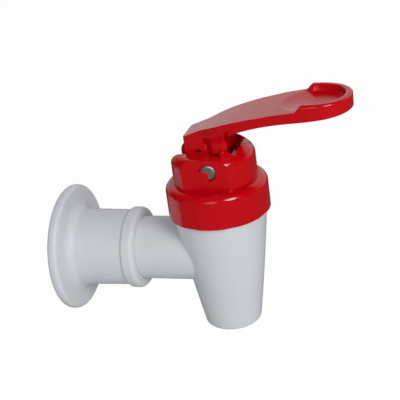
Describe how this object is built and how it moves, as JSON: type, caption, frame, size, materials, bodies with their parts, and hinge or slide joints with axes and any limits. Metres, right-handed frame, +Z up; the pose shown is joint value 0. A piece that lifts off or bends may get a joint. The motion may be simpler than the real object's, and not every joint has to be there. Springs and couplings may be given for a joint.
{
  "type": "bag in box tap",
  "caption": "Lever-operated dispensing tap with a flanged gland, tapered spout, screw bonnet and spring-closed silicone valve.",
  "frame": {"origin": "centre of the gland's inlet hole in its flat back face, on the shank axis", "axes": "+X along the shank from the bag to the spout, +Z up from the spout to the lever, +Y to the side away from the pin's head"},
  "size_m": [0.104, 0.0436, 0.0809],
  "materials": {
    "white_polyethylene": "moulded, satin gloss",
    "white_polypropylene": "moulded, satin gloss",
    "red_plastic": "moulded, glossy",
    "stainless_steel": "turned, bright",
    "natural_acetal": "moulded, matt",
    "spring_steel": "drawn wire",
    "silicone": "moulded, soft matt"
  },
  "bodies": {
    "tap": {"gland": "white_polyethylene", "tap_body": "white_polypropylene", "bonnet": "red_plastic", "pivot_pin": "stainless_steel", "seat_cup": "silicone", "spring": "spring_steel"},
    "lever": {"lever": "red_plastic"},
    "stem": {"stem": "natural_acetal"}
  },
  "joints": [
    {"name": "lever_press", "type": "hinge", "parent": "tap", "child": "lever", "pos_m": [0.0573, 0, 0.0324], "axis": [0, 1, 0], "range_deg": [0, 20], "stiffness_Nm_per_rad": 0.07, "springref_deg": -60.16},
    {"name": "stem_lift", "type": "slide", "parent": "tap", "child": "stem", "axis": [0, 0, 1], "range_m": [0, 0.00175], "deforming": ["spring", "seat_cup"]}
  ],
  "couplings": [
    {"joint": "stem_lift", "follows": "lever_press", "m_per_rad": 0.00498}
  ]
}
